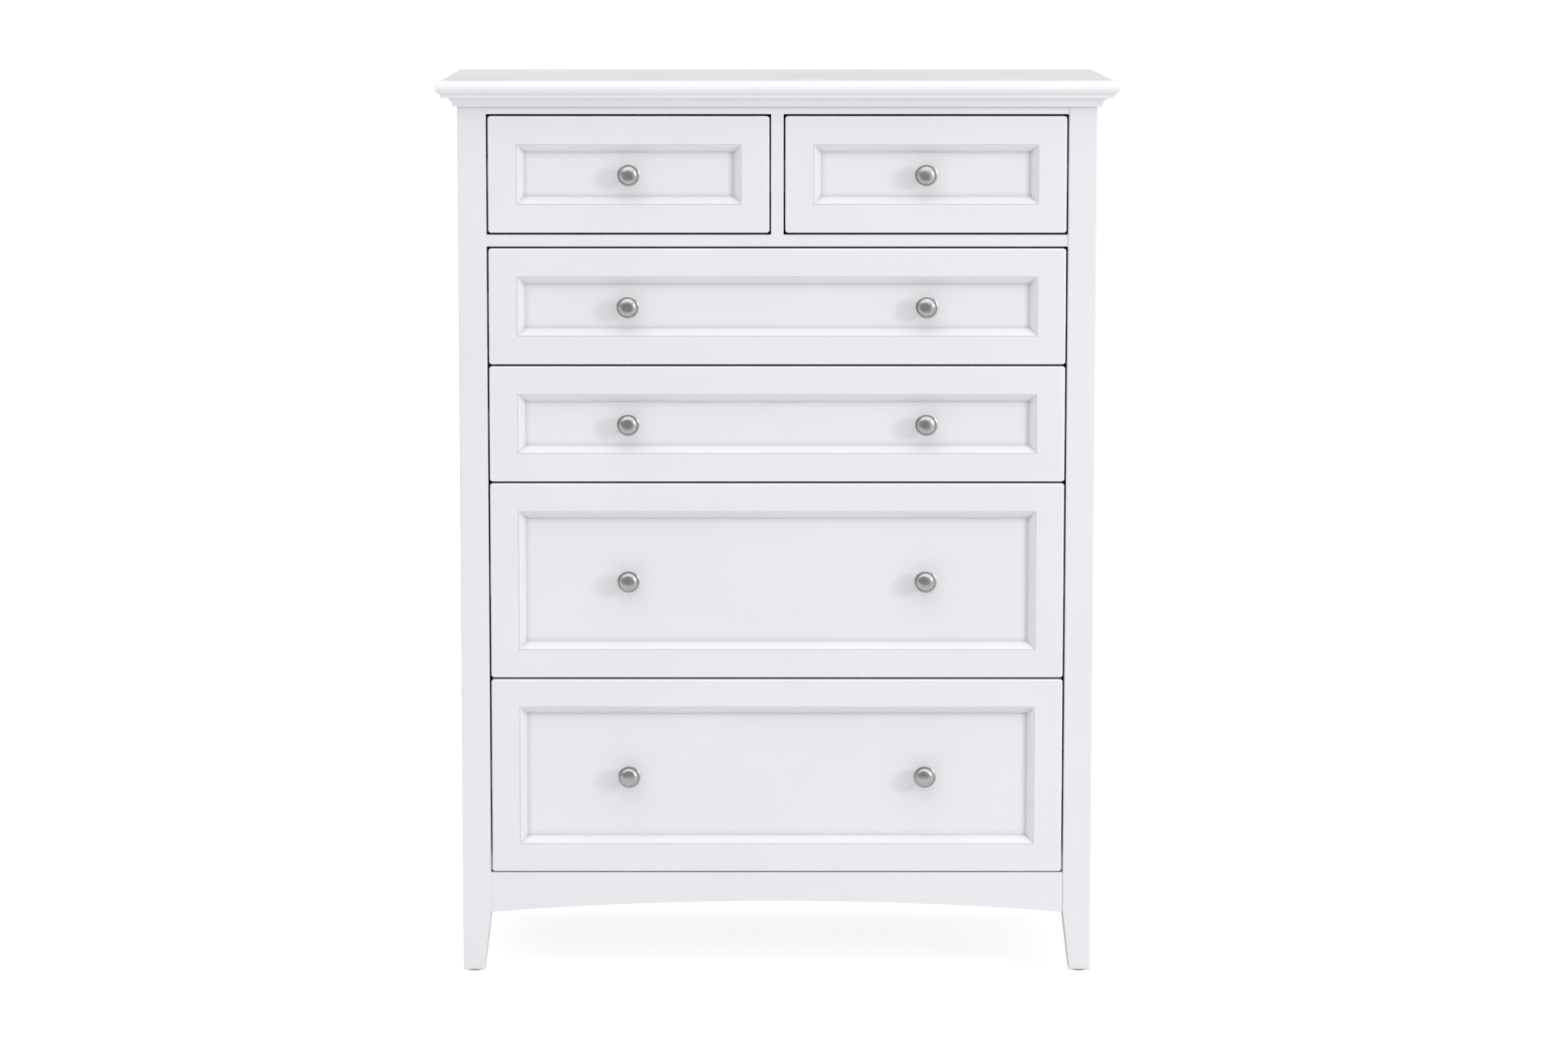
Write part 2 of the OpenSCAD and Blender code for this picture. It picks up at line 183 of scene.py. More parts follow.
def make_studio():
    """A white floor and, far away, a white wall all round, which only the camera sees. Just under
    the floor lies a second one, which the camera doesn't see and which lights the chest from
    below. In front stands a dark room, which only gloss and metal reflect."""
    steps = 48
    turns = [math.tau * i / steps for i in range(steps)]
    ring = [(STUDIO_R * math.cos(turn), STUDIO_R * math.sin(turn)) for turn in turns]
    low, high = [(x, y, 0) for x, y in ring], [(x, y, STUDIO_R) for x, y in ring]
    disk = [tuple(range(steps))]
    sides = [(i, (i + 1) % steps, steps + (i + 1) % steps, steps + i) for i in range(steps)]
    for shown in (stage_piece("floor", low, disk, 0.3, 0.86),
                  stage_piece("wall", low + high, sides, 0.3, 1.0)):
        shown.visible_diffuse = shown.visible_glossy = False
    bounce = stage_piece("bounce", [(x, y, -MM) for x, y, _ in low], disk, 0.6, 0.23)
    bounce.visible_camera = False
    room = stage_piece("room", [(ROOM_R * x / STUDIO_R + ROOM_AT[0], ROOM_AT[1],
                                 ROOM_AT[2] + ROOM_R * y / STUDIO_R) for x, y in ring],
                       disk, 0.05, 0.30)
    room.visible_camera = room.visible_diffuse = room.visible_shadow = False


# ---------------------------------------------------------------- materials

def new_material(name, colour, roughness, metallic=0.0):
    """A material, its nodes and its shader."""
    material = bpy.data.materials.new(name)
    material.use_nodes = True
    nodes = material.node_tree.nodes
    shader = nodes["Principled BSDF"]
    shader.inputs["Base Color"].default_value = (*colour, 1)
    shader.inputs["Roughness"].default_value = roughness
    shader.inputs["Metallic"].default_value = metallic
    return material, nodes, shader


class Graph:
    """Short names for building a material's nodes."""

    def __init__(self, material):
        self.tree = material.node_tree
        self.nodes = material.node_tree.nodes

    def link(self, source, target):
        self.tree.links.new(source, target)

    def place(self, stretch, shift=(0, 0, 0)):
        """The piece's own coordinates, scaled so that a stretch of 1 is one metre."""
        coords = self.nodes.new("ShaderNodeTexCoord")
        mapping = self.nodes.new("ShaderNodeMapping")
        mapping.inputs["Scale"].default_value = stretch
        mapping.inputs["Location"].default_value = shift
        self.link(coords.outputs["Object"], mapping.inputs["Vector"])
        return mapping.outputs["Vector"]

    def noise(self, vector, scale, detail=3.0, rough=0.5, distortion=0.0):
        node = self.nodes.new("ShaderNodeTexNoise")
        node.inputs["Scale"].default_value = scale
        node.inputs["Detail"].default_value = detail
        node.inputs["Roughness"].default_value = rough
        node.inputs["Distortion"].default_value = distortion
        self.link(vector, node.inputs["Vector"])
        return node.outputs["Fac"]

    def remap(self, value, low, high, to_low, to_high):
        node = self.nodes.new("ShaderNodeMapRange")
        for name, number in zip(("From Min", "From Max", "To Min", "To Max"),
                                (low, high, to_low, to_high)):
            node.inputs[name].default_value = number
        self.link(value, node.inputs["Value"])
        return node.outputs["Result"]

    def ramp(self, value, stops):
        node = self.nodes.new("ShaderNodeValToRGB")
        elements = node.color_ramp.elements
        while len(elements) < len(stops):
            elements.new(0.5)
        for element, (position, colour) in zip(elements, stops):
            element.position = position
            element.color = (*colour, 1)
        self.link(value, node.inputs["Fac"])
        return node.outputs["Color"]

    def mix(self, factor, first, second):
        node = self.nodes.new("ShaderNodeMix")
        node.data_type = "RGBA"
        for name, value in (("Factor", factor), ("A", first), ("B", second)):
            socket = [s for s in node.inputs if s.name == name and s.enabled][0]
            if isinstance(value, (int, float)):
                socket.default_value = value
            elif isinstance(value, tuple):
                socket.default_value = (*value, 1)
            else:
                self.link(value, socket)
        return [s for s in node.outputs if s.enabled][0]

    def math(self, kind, first, second):
        node = self.nodes.new("ShaderNodeMath")
        node.operation = kind
        for socket, value in zip(node.inputs, (first, second)):
            if isinstance(value, (int, float)):
                socket.default_value = value
            else:
                self.link(value, socket)
        return node.outputs["Value"]

    def bump(self, shader, height, strength, distance):
        node = self.nodes.new("ShaderNodeBump")
        node.inputs["Strength"].default_value = strength
        node.inputs["Distance"].default_value = distance
        self.link(height, node.inputs["Height"])
        self.link(node.outputs["Normal"], shader.inputs["Normal"])


def along(axis, fine, coarse):
    """Texture scales that are coarse along one axis and fine across it."""
    return tuple(coarse if i == axis else fine for i in range(3))


def lacquer(name, axis, reach, dull, white=1.0):
    """Satin white lacquer: a clean cool white, faint brush lines along the board, soft dimples, and
    painted shade: the white darkens in grooves, recesses and corners within reach, down to dull of
    itself. A white above 1 lifts the whole tone, as painted light."""
    # white scales the whole tone: above 1 it is painted light, for parts meant to look more
    # brightly lit
    def tone(*colour):
        return tuple(white * value for value in colour)
    material, nodes, shader = new_material("%s_%s" % (name, "xyz"[axis]),
                                           tone(0.80, 0.797, 0.822), 0.36)
    g = Graph(material)
    cloud = g.noise(g.place((1, 1, 1)), 5.0, 3.0)
    streak = g.noise(g.place(along(axis, 1.0, 0.03)), 260.0, 3.0, 0.6)
    tint = g.ramp(cloud, [(0.25, tone(0.785, 0.783, 0.812)), (0.75, tone(0.812, 0.808, 0.828))])
    # Painted shade: an occlusion probe darkens the white where grooves, recesses and corners hem
    # the surface in
    edges = nodes.new("ShaderNodeAmbientOcclusion")
    edges.samples = 6
    edges.inputs["Distance"].default_value = reach
    open_air = g.remap(edges.outputs["AO"], 0.45, 1.0, 0.0, 1.0)
    painted_shade_tone = tone(0.80 * dull, 0.797 * dull, 0.818 * dull)
    g.link(g.mix(open_air, painted_shade_tone, tint), shader.inputs["Base Color"])
    g.link(g.remap(g.math("ADD", cloud, streak), 0.6, 1.4, 0.31, 0.43), shader.inputs["Roughness"])
    dimples = g.noise(g.place((1, 1, 1)), 900.0, 2.0)
    height = g.math("ADD", g.math("MULTIPLY", streak, 0.6), g.math("MULTIPLY", dimples, 0.4))
    g.bump(shader, height, 0.10, 0.12 * MM)
    shader.inputs["Specular IOR Level"].default_value = 0.45
    shader.inputs["Coat Weight"].default_value = 0.12
    shader.inputs["Coat Roughness"].default_value = 0.22
    return material


def timber(name, axis, pale, mid, dark, roughness):
    """Clear-coated wood: growth rings drawn out along the board, fine pores, a few darker bands."""
    material, nodes, shader = new_material("%s_%s" % (name, "xyz"[axis]), mid, roughness)
    g = Graph(material)
    warp = g.noise(g.place(along(axis, 1.0, 0.12), (0.31, 0.17, 0.53)), 9.0, 2.0)
    rings = nodes.new("ShaderNodeTexNoise")
    rings.inputs["Scale"].default_value = 42.0
    rings.inputs["Detail"].default_value = 5.0
    rings.inputs["Roughness"].default_value = 0.62
    rings.inputs["Distortion"].default_value = 0.6
    g.link(g.place(along(axis, 1.0, 0.055)), rings.inputs["Vector"])
    pores = g.noise(g.place(along(axis, 1.0, 0.035)), 900.0, 2.0, 0.7)
    grain = g.ramp(rings.outputs["Fac"], [(0.30, dark), (0.46, mid), (0.68, pale)])
    band = g.ramp(warp, [(0.35, mid), (0.65, pale)])
    base = g.mix(0.35, grain, band)
    colour = g.mix(g.remap(pores, 0.35, 0.62, 0.35, 0.0), base, dark)
    g.link(colour, shader.inputs["Base Color"])
    g.link(g.remap(pores, 0.3, 0.7, roughness + 0.12, roughness - 0.05),
           shader.inputs["Roughness"])
    height = g.math("ADD", g.math("MULTIPLY", rings.outputs["Fac"], 0.4), pores)
    g.bump(shader, height, 0.18, 0.25 * MM)
    return material


def zinc():
    """Bright zinc plate: a bluish steel with pale and dark spangles and fine rolling lines."""
    material, _, shader = new_material("zinc_plate", (0.62, 0.64, 0.66), 0.34, 1.0)
    g = Graph(material)
    spangle = g.noise(g.place((1, 1, 1)), 60.0, 4.0, 0.6)
    lines = g.noise(g.place((1, 0.02, 1)), 1500.0, 2.0)
    g.link(g.ramp(spangle, [(0.3, (0.50, 0.52, 0.55)), (0.7, (0.68, 0.70, 0.72))]),
           shader.inputs["Base Color"])
    g.link(g.remap(g.math("ADD", spangle, lines), 0.6, 1.4, 0.26, 0.42),
           shader.inputs["Roughness"])
    g.bump(shader, lines, 0.15, 0.05 * MM)
    return material


def nickel():
    """Brushed nickel: neutral grey metal with a fine even brushing and slightly duller patches."""
    material, _, shader = new_material("satin_nickel", (0.54, 0.54, 0.525), 0.28, 1.0)
    g = Graph(material)
    brush = g.noise(g.place((1, 1, 0.12)), 2400.0, 2.0, 0.6)
    patch = g.noise(g.place((1, 1, 1)), 90.0, 3.0)
    g.link(g.ramp(patch, [(0.3, (0.49, 0.49, 0.475)), (0.7, (0.58, 0.58, 0.565))]),
           shader.inputs["Base Color"])
    g.link(g.remap(g.math("ADD", brush, patch), 0.6, 1.4, 0.23, 0.33),
           shader.inputs["Roughness"])
    g.bump(shader, brush, 0.12, 0.04 * MM)
    return material


def felt():
    """Pressed felt: dull fibres in two warm greys."""
    material, _, shader = new_material("felt", (0.36, 0.345, 0.325), 0.95)
    g = Graph(material)
    fibre = g.noise(g.place((1, 1, 1)), 1400.0, 4.0, 0.7, 1.5)
    g.link(g.ramp(fibre, [(0.35, (0.29, 0.275, 0.26)), (0.65, (0.43, 0.41, 0.39))]),
           shader.inputs["Base Color"])
    g.bump(shader, fibre, 0.6, 0.4 * MM)
    shader.inputs["Sheen Weight"].default_value = 0.3
    return material


X, Y, Z = 0, 1, 2
BIRCH = ((0.66, 0.49, 0.30), (0.58, 0.41, 0.235), (0.43, 0.28, 0.14))
PLY = ((0.62, 0.44, 0.26), (0.54, 0.37, 0.21), (0.40, 0.25, 0.13))
# White lacquer with faint painted shade in grooves and corners, within 12 mm
WHITE = {axis: lacquer("white_lacquer", axis, 12 * MM, 0.93) for axis in (X, Y, Z)}
# Drawer fronts: strong painted shade in the moulding, its groove and the panel's edge, within 9 mm
FRONT_SHADED = lacquer("front_painted_shade", X, 9 * MM, 0.64)
# Drawer fronts' rounded outer edges: a painted highlight, a white lifted 6% with little painted
# shade
RIM_HIGHLIGHT = lacquer("rim_painted_highlight", X, 1 * MM, 0.9, 1.06)
# Top, cove moulding and top rail: painted light, a white lifted 5%, with weak painted shade in
# hollows
CROWN_LIT = {axis: lacquer("crown_painted_light", axis, 4 * MM, 0.97, 1.05) for axis in (X, Y)}
WOOD = {axis: timber("birch", axis, *BIRCH, 0.42) for axis in (X, Y)}
PLYWOOD = {axis: timber("plywood", axis, *PLY, 0.55) for axis in (X, Z)}
ZINC = zinc()
NICKEL = nickel()
FELT = felt()


# ---------------------------------------------------------------- mesh tools

def arc(middle, radius_a, radius_b, start, end, steps):
    """Points of an elliptical arc, angles in degrees."""
    points = []
    for i in range(steps + 1):
        angle = math.radians(start + (end - start) * i / steps)
        points.append((middle[0] + radius_a * math.cos(angle),
                       middle[1] + radius_b * math.sin(angle)))
    return points


def piece(name, mesh, material, body, slot, *nodes):
    """Makes a shown piece of a bmesh: shades it, gives it its material and lets it ride."""
    bmesh.ops.remove_doubles(mesh, verts=mesh.verts, dist=0.01 * MM)
    bmesh.ops.recalc_face_normals(mesh, faces=mesh.faces)
    for face in mesh.faces:
        face.smooth = True
    for edge in mesh.edges:
        edge.smooth = edge.is_manifold and edge.calc_face_angle(0) < SMOOTH_ANGLE
    data = bpy.data.meshes.new(name)
    mesh.to_mesh(data)
    mesh.free()
    data.materials.append(material)
    made = bpy.data.objects.new(name, data)
    bpy.context.scene.collection.objects.link(made)
    weighted = made.modifiers.new("normals", "WEIGHTED_NORMAL")
    weighted.keep_sharp = True
    weighted.weight = 60
    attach(made, body)
    if nodes:
        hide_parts(*nodes)
    return made


def loft(rings, cap=True, closed=False):
    """A skin over rings of points with the same count. Ends are capped, or joined if closed."""
    mesh = bmesh.new()
    rows = [[mesh.verts.new(p) for p in ring] for ring in rings]
    pairs = list(zip(rows, rows[1:]))
    if closed:
        pairs.append((rows[-1], rows[0]))
    for first, second in pairs:
        for i in range(len(first)):
            j = (i + 1) % len(first)
            mesh.faces.new((first[i], first[j], second[j], second[i]))
    if cap and not closed:
        mesh.faces.new(rows[0][::-1])
        mesh.faces.new(rows[-1])
    return mesh


def prism(outline, axis, low, high):
    """A solid with a flat outline, drawn out along an axis. The outline's two coordinates are
    the other two axes in X, Y, Z order."""
    def point(pair, level):
        values = list(pair)
        values.insert(axis, level)
        return values
    return loft([[point(p, low) for p in outline], [point(p, high) for p in outline]])


def soften(mesh, radius, segments=3, keep=None):
    """Rounds the edges of a mesh, or only those that keep(edge) picks."""
    edges = [e for e in mesh.edges if e.calc_face_angle(0) > math.radians(25)
             and (keep is None or keep(e))]
    bmesh.ops.bevel(mesh, geom=edges, offset=radius, offset_type="OFFSET", segments=segments,
                    profile=0.5, affect="EDGES", clamp_overlap=True)


def board(low, high, radius, segments=3):
    """A board with softened edges, from its lowest corner to its highest."""
    outline = [(low[0], low[1]), (high[0], low[1]), (high[0], high[1]), (low[0], high[1])]
    mesh = prism(outline, Z, low[2], high[2])
    soften(mesh, radius, segments)
    return mesh


def node_board(node, radius, material, body, slot, segments=3):
    """A softened board in place of a CAD node that is one plain block."""
    low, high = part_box(node)
    return piece(node + "_part", board(low, high, radius, segments), material, body, slot, node)


def turned(profile, middle, steps=72):
    """A solid turned about the line through middle along Y. The profile gives radius and
    distance towards -Y."""
    rings = []
    for radius, out in profile:
        r = max(radius, 0.01 * MM)          # no ring shrinks to a point
        rings.append([(middle[0] + r * math.cos(2 * math.pi * i / steps), middle[1] - out,
                       middle[2] + r * math.sin(2 * math.pi * i / steps)) for i in range(steps)])
    return loft(rings)


# ---------------------------------------------------------------- top and moulding

def case_ring(out, level, corner, steps=5):
    """The outline of the top at one height, standing out past the legs at front and sides."""
    x, front, points = LEG_X + out, FRONT_Y - out, []
    points.append((-x, BACK_Y, level))
    for cx, start in ((-x + corner, 180), (x - corner, 270)):
        points += [(a, b, level) for a, b in
                   arc((cx, front + corner), corner, corner, start, start + 90, steps)]
    points.append((x, BACK_Y, level))
    return points


def make_top():
    """The top, whose front and sides have a rounded nose, a slope under it and a fillet."""
    top, low = SLAB_HIGH.z, SLAB_LOW.z
    edge = arc((OVERHANG - NOSE_W, top - NOSE_H), NOSE_W, NOSE_H, 90, 0, 14)
    start, end = (OVERHANG, top - NOSE_H), (OVERHANG - SLOPE_W, low + FILLET_H)
    for i in range(1, 6):
        t = i / 6
        swell = 0.9 * MM * math.sin(math.pi * t)
        edge.append((start[0] + (end[0] - start[0]) * t + swell,
                     start[1] + (end[1] - start[1]) * t - swell))
    edge += [end, (end[0], low + 0.6 * MM), (end[0] - 0.6 * MM, low)]
    corner = 1.6 * MM
    mesh = loft([case_ring(out, level, corner) for out, level in edge])
    back = [e for e in mesh.edges if all(v.co.y > BACK_Y - MM for v in e.verts)
            and abs(e.verts[0].co.z - e.verts[1].co.z) < TINY]
    back = [e for e in back if e.verts[0].co.z > top - TINY or e.verts[0].co.z < low + TINY]
    bmesh.ops.bevel(mesh, geom=back, offset=0.8 * MM, segments=2, profile=0.5, affect="EDGES")
    # The top takes the crown's painted-light lacquer
    piece("top_slab", mesh, CROWN_LIT[X], "case", "white_lacquer", "top_panel")


def crown_section():
    """Reach past the legs and height of the cove moulding, all the way round its section."""
    low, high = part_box("crown_moulding")[0].z, SLAB_LOW.z
    cove = arc((COVE_OUT, low + COVE_FOOT), COVE_OUT - COVE_IN, high - low - COVE_FOOT,
               90, 180, 14)
    foot = [(COVE_IN, low + 0.4 * MM), (COVE_IN - 0.4 * MM, low), (0, low), (0, high)]
    return cove + foot


def make_crown():
    """The cove moulding: two side lengths and a front one, mitred."""
    section = crown_section()
    # All three lengths take the crown's painted-light lacquer
    for side, name in ((-1, "left"), (1, "right")):
        rings = [[(side * (LEG_X + out), FRONT_Y - out, z) for out, z in section],
                 [(side * (LEG_X + out), BACK_Y, z) for out, z in section]]
        piece("crown_" + name, loft(rings), CROWN_LIT[Y], "case", "white_lacquer",
              "crown_moulding")
    rings = [[(side * (LEG_X + out), FRONT_Y - out, z) for out, z in section]
             for side in (-1, 1)]
    piece("crown_front", loft(rings), CROWN_LIT[X], "case", "white_lacquer", "crown_moulding")


# ---------------------------------------------------------------- legs, panels and rails

def make_leg(node):
    """A square post whose foot tapers on its two inner faces."""
    low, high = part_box(node)
    side = 1 if low.x > 0 else -1
    rear = low.y > 0
    outer_x = high.x if side > 0 else low.x
    outer_y, inward = (high.y, -1) if rear else (low.y, 1)
    width, depth = high.x - low.x, high.y - low.y
    ease, chamfer = 3 * MM, 1.2 * MM
    levels = [(low.z, FOOT_TAPER, chamfer), (low.z + chamfer, FOOT_TAPER, 0)]
    levels += [(FOOT_Z - ease, FOOT_TAPER * ease / (FOOT_Z - low.z), 0),
               (FOOT_Z, 0.35 * FOOT_TAPER * ease / (FOOT_Z - low.z), 0), (FOOT_Z + ease, 0, 0),
               (high.z, 0, 0)]
    rings = []
    for level, taper, inset in levels:
        w, d, r = width - taper - 2 * inset, depth - taper - 2 * inset, POST_EDGE
        ring = []
        for cx, cy, start in ((r, r, 180), (w - r, r, 270), (w - r, d - r, 0), (r, d - r, 90)):
            ring += arc((cx, cy), r, r, start, start + 90, 4)
        rings.append([(outer_x - side * (u + inset), outer_y + inward * (v + inset), level)
                      for u, v in ring])
    piece(node + "_post", loft(rings), WHITE[Z], "case", "white_lacquer", node)


def make_apron():
    """The board under the drawers, whose lower edge is one shallow arc."""
    low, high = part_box("arched_apron")
    rise, half, steps = 16.5 * MM, high.x, 48
    radius = (half * half + rise * rise) / (2 * rise)
    spread = math.degrees(math.asin(half / radius))
    outline = arc((0, low.z + rise - radius), radius, radius, 90 + spread, 90 - spread, steps)
    outline += [(half, high.z), (-half, high.z)]
    mesh = prism(outline, Y, low.y, high.y)
    soften(mesh, 1.6 * MM, 3, lambda e: abs(e.verts[0].co.y - e.verts[1].co.y) < TINY
           and abs(e.verts[0].co.x) + abs(e.verts[1].co.x) < 1.999 * half)
    soften(mesh, 1.6 * MM, 3, lambda e: all(v.co.z > high.z - TINY for v in e.verts)
           and abs(e.verts[0].co.x - e.verts[1].co.x) > half)
    piece("apron_board", mesh, WHITE[X], "case", "white_lacquer", "arched_apron")


def make_case():
    """Everything that stays still, but for the top, the moulding and the slides."""
    for node in ("front_leg_left", "front_leg_right", "rear_leg_left", "rear_leg_right"):
        make_leg(node)
    # The top rail takes the crown's painted-light lacquer, the divider the plain white
    for node, finish in (("top_rail", CROWN_LIT[X]), ("divider_rail", WHITE[X])):
        node_board(node, RAIL_EDGE, finish, "case", "white_lacquer")
    node_board("centre_partition", RAIL_EDGE, WHITE[Z], "case", "white_lacquer")
    for node in ("side_panel_left", "side_panel_right"):
        node_board(node, FINE_EDGE, WHITE[Z], "case", "white_lacquer", 2)
    make_back_panel()
    make_side_rails()
    make_back_rails()
    make_cleats()
    make_glides()
    make_apron()


def make_back_panel():
    """A plywood panel, set a little below the rear legs' backs, and the screws that hold it to
    the three back rails."""
    low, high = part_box("back_panel")
    set_in, margin, across = 1.2 * MM, 11 * MM, 7
    back = high.y - set_in
    mesh = board(low, (high.x, back, high.z), 0.5 * MM, 2)
    piece("back_panel_part", mesh, PLYWOOD[Z], "case", "plywood", "back_panel")
    middle_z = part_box("divider_rail")[0].z
    places = [(low.x + (high.x - low.x) * (i + 0.5) / across, z) for i in range(across)
              for z in (low.z + margin, middle_z, high.z - margin)]
    head = [(r, -d) for r, d in screw_head(*PANEL_SCREW)]
    for i, (x, z) in enumerate(places):
        piece("back_screw_%02d" % (i + 1), turned(head, (x, back, z), 24), ZINC, "case",
              "zinc_steel")


def make_side_rails():
    """The rails over and under the side panels, a little behind the legs' outer faces."""
    low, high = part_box("side_rails")
    thick, set_in = 20 * MM, 1.5 * MM
    spans = {"lower": (low.z, low.z + 60 * MM), "upper": (high.z - 50 * MM, high.z)}
    for side, name in ((-1, "left"), (1, "right")):
        for place, (z0, z1) in spans.items():
            outer = LEG_X - set_in
            xs = sorted((side * outer, side * (outer - thick)))
            mesh = board((xs[0], low.y, z0), (xs[1], high.y, z1), RAIL_EDGE)
            piece("side_rail_%s_%s" % (place, name), mesh, WHITE[Y], "case", "white_lacquer",
                  "side_rails")


def make_back_rails():
    """Three rails between the rear legs: behind the apron, the divider and the top rail."""
    low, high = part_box("back_rails")
    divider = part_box("divider_rail")
    tall = divider[1].z - divider[0].z
    apron_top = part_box("arched_apron")[1].z
    rail_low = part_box("top_rail")[0].z
    spans = {"lower": (low.z, apron_top), "middle": (divider[0].z - tall, divider[1].z),
             "upper": (rail_low, high.z)}
    for place, (z0, z1) in spans.items():
        mesh = board((low.x, low.y, z0), (high.x, high.y, z1), FINE_EDGE, 2)
        piece("back_rail_" + place, mesh, WOOD[X], "case", "birch", "back_rails")


def slide_height(drawer):
    """Height of the middle of a drawer's slides."""
    low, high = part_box(drawer + "_drawer_slides")
    return (low.z + high.z) / 2


def make_cleats():
    """The strips between front and rear legs that carry the outer slides."""
    low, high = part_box("slide_cleats")
    half, thick = 25 * MM, 25 * MM
    for side, name in ((-1, "left"), (1, "right")):
        for drawer in DRAWERS[1:]:
            z = slide_height(drawer)
            xs = sorted((side * INNER_X, side * (INNER_X + thick)))
            mesh = board((xs[0], low.y, z - half), (xs[1], high.y, z + half), FINE_EDGE, 2)
            row = "top" if drawer == "top_right" else drawer
            piece("cleat_%s_%s" % (row, name), mesh, WOOD[Y], "case", "birch", "slide_cleats")


def make_glides():
    """A round felt pad under each foot, with its edges eased."""
    low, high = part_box("floor_glides")
    radius = 11 * MM
    edge = 0.6 * MM
    for name_y, y in (("front", low.y + radius), ("rear", high.y - radius)):
        for name_x, x in (("left", low.x + radius), ("right", high.x - radius)):
            rings = []
            for inset, z in ((edge, low.z), (0, low.z + edge), (0, high.z - edge),
                             (edge, high.z)):
                rings.append([(x + (radius - inset) * math.cos(math.tau * i / 40),
                               y + (radius - inset) * math.sin(math.tau * i / 40), z)
                              for i in range(40)])
            piece("glide_%s_%s" % (name_y, name_x), loft(rings), FELT, "case", "felt",
                  "floor_glides")


# ---------------------------------------------------------------- drawers

def front_section(thick):
    """Distance in from a frame's outer edge and depth behind its face, round its section."""
    inner = FRAME_W
    first, last = MOULD_TILT
    radius = MOULD_W / (math.sin(math.radians(last)) - math.sin(math.radians(first)))
    middle = (FRAME_FLAT + QUIRK_W - radius * math.sin(math.radians(first)),
              MOULD_STEP + radius * math.cos(math.radians(first)))
    points = [(0, thick - FINE_EDGE)]
    points += [(p[0], p[1]) for p in
               arc((FACE_ROUND, FACE_ROUND), FACE_ROUND, FACE_ROUND, 180, 270, 6)]
    points += [(FRAME_FLAT - 0.4 * MM, 0), (FRAME_FLAT, 0.3 * MM), (FRAME_FLAT + 0.1 * MM, QUIRK),
               (FRAME_FLAT + QUIRK_W - 0.4 * MM, QUIRK)]
    points += arc(middle, radius, radius, first - 90, last - 90, 12)
    points += [(inner, PANEL_DROP), (inner - TONGUE_L, PANEL_DROP),
               (inner - TONGUE_L, PANEL_DROP + TONGUE_T), (inner, PANEL_DROP + TONGUE_T),
               (inner, thick), (FINE_EDGE, thick)]
    return points


def rounded_rectangle(middle_x, middle_z, half_w, half_h, corner, y, steps=4):
    """An upright rectangle at one depth, with round corners."""
    points = []
    for sx, sz, start in ((1, 1, 0), (-1, 1, 90), (-1, -1, 180), (1, -1, 270)):
        centre = (middle_x + sx * (half_w - corner), middle_z + sz * (half_h - corner))
        points += [(a, y, b) for a, b in arc(centre, corner, corner, start, start + 90, steps)]
    return points


def make_front(drawer):
    """A mitred frame with its moulding, round a flat panel whose tongue sits in its groove. The
    frame's rounded outer edge, its top and its underside have a brighter lacquer of their own, a
    painted highlight, with less painted shade next to the gap."""
    body = drawer + "_drawer"
    low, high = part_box(drawer + "_front_frame")
    mx, mz = (low.x + high.x) / 2, (low.z + high.z) / 2
    hw, hh, thick = (high.x - low.x) / 2, (high.z - low.z) / 2, high.y - low.y
    rings = [rounded_rectangle(mx, mz, hw - u, hh - u, max(FACE_CORNER - u, SHARP), low.y + d)
             for u, d in front_section(thick)]
    mesh = loft(rings, closed=True)
    for face in mesh.faces:
        middle = face.calc_center_median()
        past_x, past_z = abs(middle.x - mx) - hw, abs(middle.z - mz) - hh
        rounded = middle.y < low.y + FACE_ROUND and max(past_x, past_z) > -FACE_ROUND
        # The rounded edge, the top and the underside take the painted-highlight lacquer
        face.material_index = int(rounded or past_z > -FINE_EDGE)
    # The rest of the frame takes the painted-shade lacquer, darker in its moulding and groove
    made = piece(drawer + "_frame", mesh, FRONT_SHADED, body, "white_lacquer",
                 drawer + "_front_frame")
    made.data.materials.append(RIM_HIGHLIGHT)
    inner = FRAME_W - 0.1 * MM              # play between the panel and its frame
    steps = ((inner, thick), (inner, PANEL_DROP + TONGUE_T),
             (inner - TONGUE_L, PANEL_DROP + TONGUE_T), (inner - TONGUE_L, PANEL_DROP))
    rings = [rounded_rectangle(mx, mz, hw - u, hh - u, SHARP, low.y + d) for u, d in steps]
    # The panel takes the fronts' painted-shade lacquer too, darker next to the moulding
    piece(drawer + "_panel", loft(rings), FRONT_SHADED, body, "white_lacquer",
          drawer + "_front_panel")


def knob_profile():
    """Radius and distance out from the panel: foot, neck, cupped underside, rim, a fine groove
    and a dome that is flat in the middle and falls away fast at its edge."""
    rim, rim_out, dome = KNOB_R / MM, 22.0, 13.7
    points = [(0, 0), (8.1, 0), (8.5, 0.4), (8.5, 1.3), (8.2, 1.6)]
    points += arc((8.2, 4.6), 3.2, 3.0, 270, 180, 8)
    points += [(5.0, 11.0)]
    points += arc((5.0, rim_out), rim - 5.6, rim_out - 12, 270, 357, 16)
    points += [(rim - 0.3, rim_out + 0.05), (rim, rim_out + 0.35), (rim, rim_out + 0.9),
               (rim - 0.4, rim_out + 1.4), (dome + 1.1, rim_out + 1.8),
               (dome + 0.8, rim_out + 1.6), (dome + 0.7, rim_out + 1.0),
               (dome, rim_out + 1.0), (dome, rim_out + 1.8)]
    height, power = KNOB_OUT / MM - rim_out - 1.8, 2 / 2.3
    for i in range(1, 33):
        turn = math.radians(90 * i / 32)
        points.append((dome * max(math.cos(turn), 0) ** power,
                       rim_out + 1.8 + height * math.sin(turn) ** power))
    return [(r * MM, d * MM) for r, d in points]


def screw_head(radius, height):
    """A pan head from its flat underside to its crown."""
    points = [(0, 0), (radius, 0), (radius, 0.35 * height)]
    points += arc((radius * 0.62, 0.35 * height), radius * 0.38, height * 0.65, 0, 90, 6)
    return points + [(0, height)]


